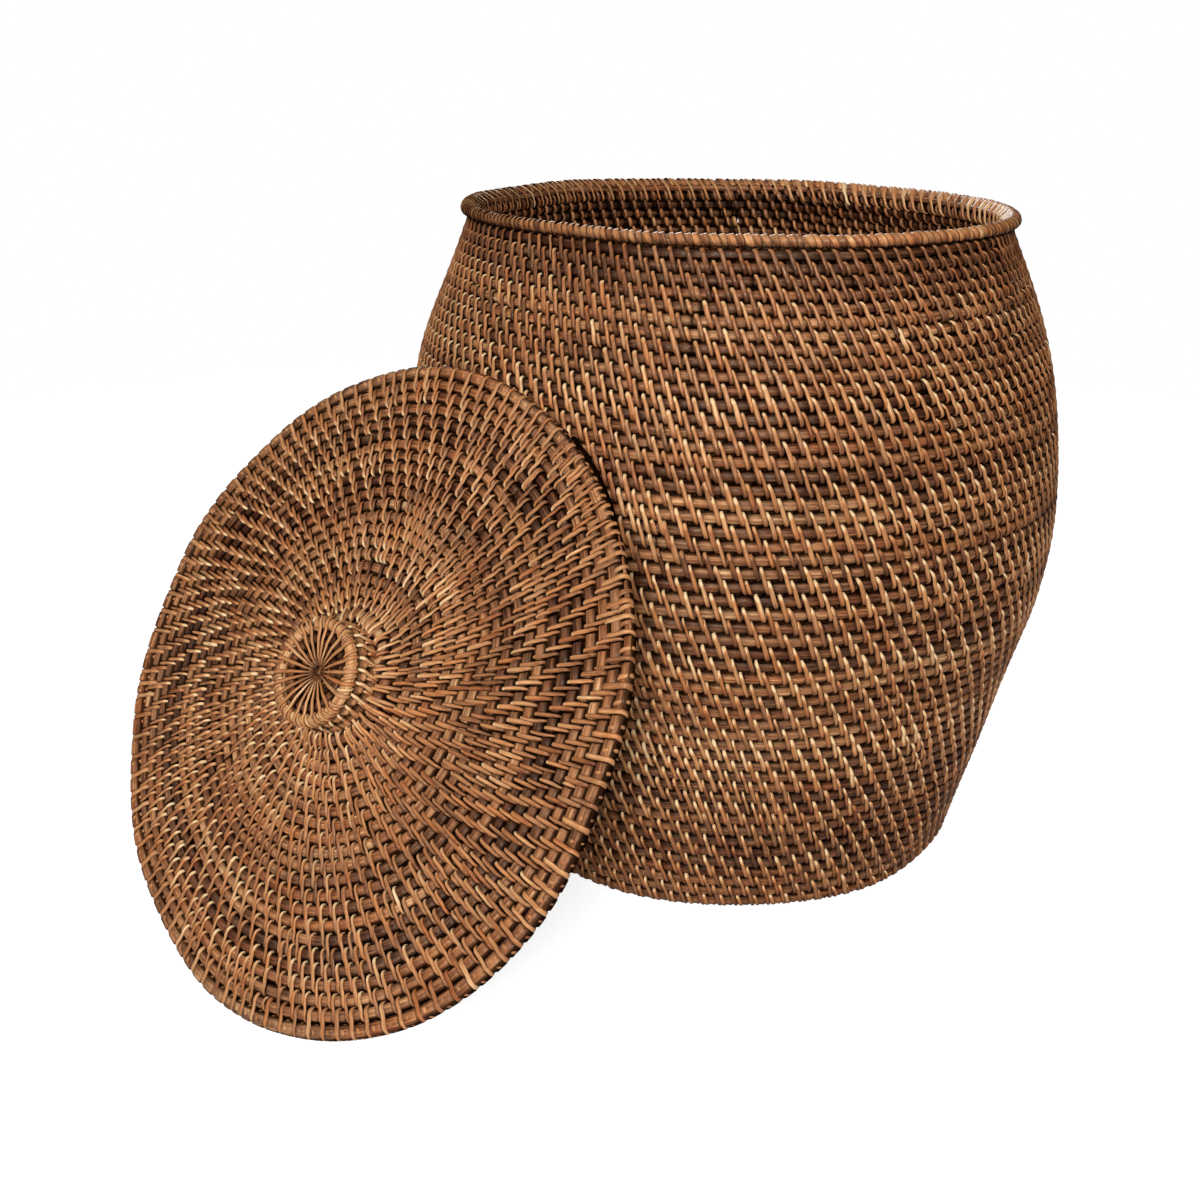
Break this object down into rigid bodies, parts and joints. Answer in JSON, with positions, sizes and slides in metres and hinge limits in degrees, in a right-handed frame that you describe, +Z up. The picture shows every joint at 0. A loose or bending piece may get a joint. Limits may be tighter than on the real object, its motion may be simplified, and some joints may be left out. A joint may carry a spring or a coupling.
{
  "type": "laundry basket",
  "caption": "Round coiled cane laundry basket with a wide open mouth, and a knobbed round lid that stands on the floor and leans on the wall.",
  "frame": {"origin": "centre of the basket's flat base, on the floor", "axes": "+Z up along the basket's axis; the lid leans on the -Y side of the basket and faces -Y"},
  "size_m": [0.504, 0.6978, 0.4801],
  "materials": {
    "wall_cane": "satin coiled cane in bands from honey to dark brown",
    "base_cane": "satin coiled cane",
    "rim_binding": "satin peel strips wound side by side",
    "lid_cane": "satin coiled cane in bands from honey to dark brown",
    "knob_binding": "satin peel strips over coils",
    "core_cane": "matt cut cane"
  },
  "bodies": {
    "basket": {"base_course_1": "base_cane", "base_course_2": "base_cane", "base_course_3": "base_cane", "base_course_4": "base_cane", "foot_coil": "wall_cane", "wall_course_01": "wall_cane", "wall_course_02": "wall_cane", "wall_course_03": "wall_cane", "wall_course_04": "wall_cane", "wall_course_05": "wall_cane", "wall_course_06": "wall_cane", "wall_course_07": "wall_cane", "wall_course_08": "wall_cane", "wall_course_09": "wall_cane", "wall_course_10": "wall_cane", "wall_course_11": "wall_cane", "wall_course_12": "wall_cane", "wall_course_13": "wall_cane", "rim_roll": "rim_binding"},
    "lid": {"lid_course_1": "lid_cane", "lid_course_2": "lid_cane", "lid_course_3": "lid_cane", "lid_course_4": "lid_cane", "lid_edge_hoop": "rim_binding", "lid_seat_ring": "lid_cane", "knob_coil_1": "knob_binding", "knob_coil_2": "knob_binding", "knob_end_roll": "knob_binding", "knob_cap": "knob_binding", "knob_core": "core_cane"}
  },
  "joints": [
    {"name": "lid_lift", "type": "slide", "parent": "basket", "child": "lid", "axis": [0, 0, 1], "range_m": [0, 0.55]}
  ]
}
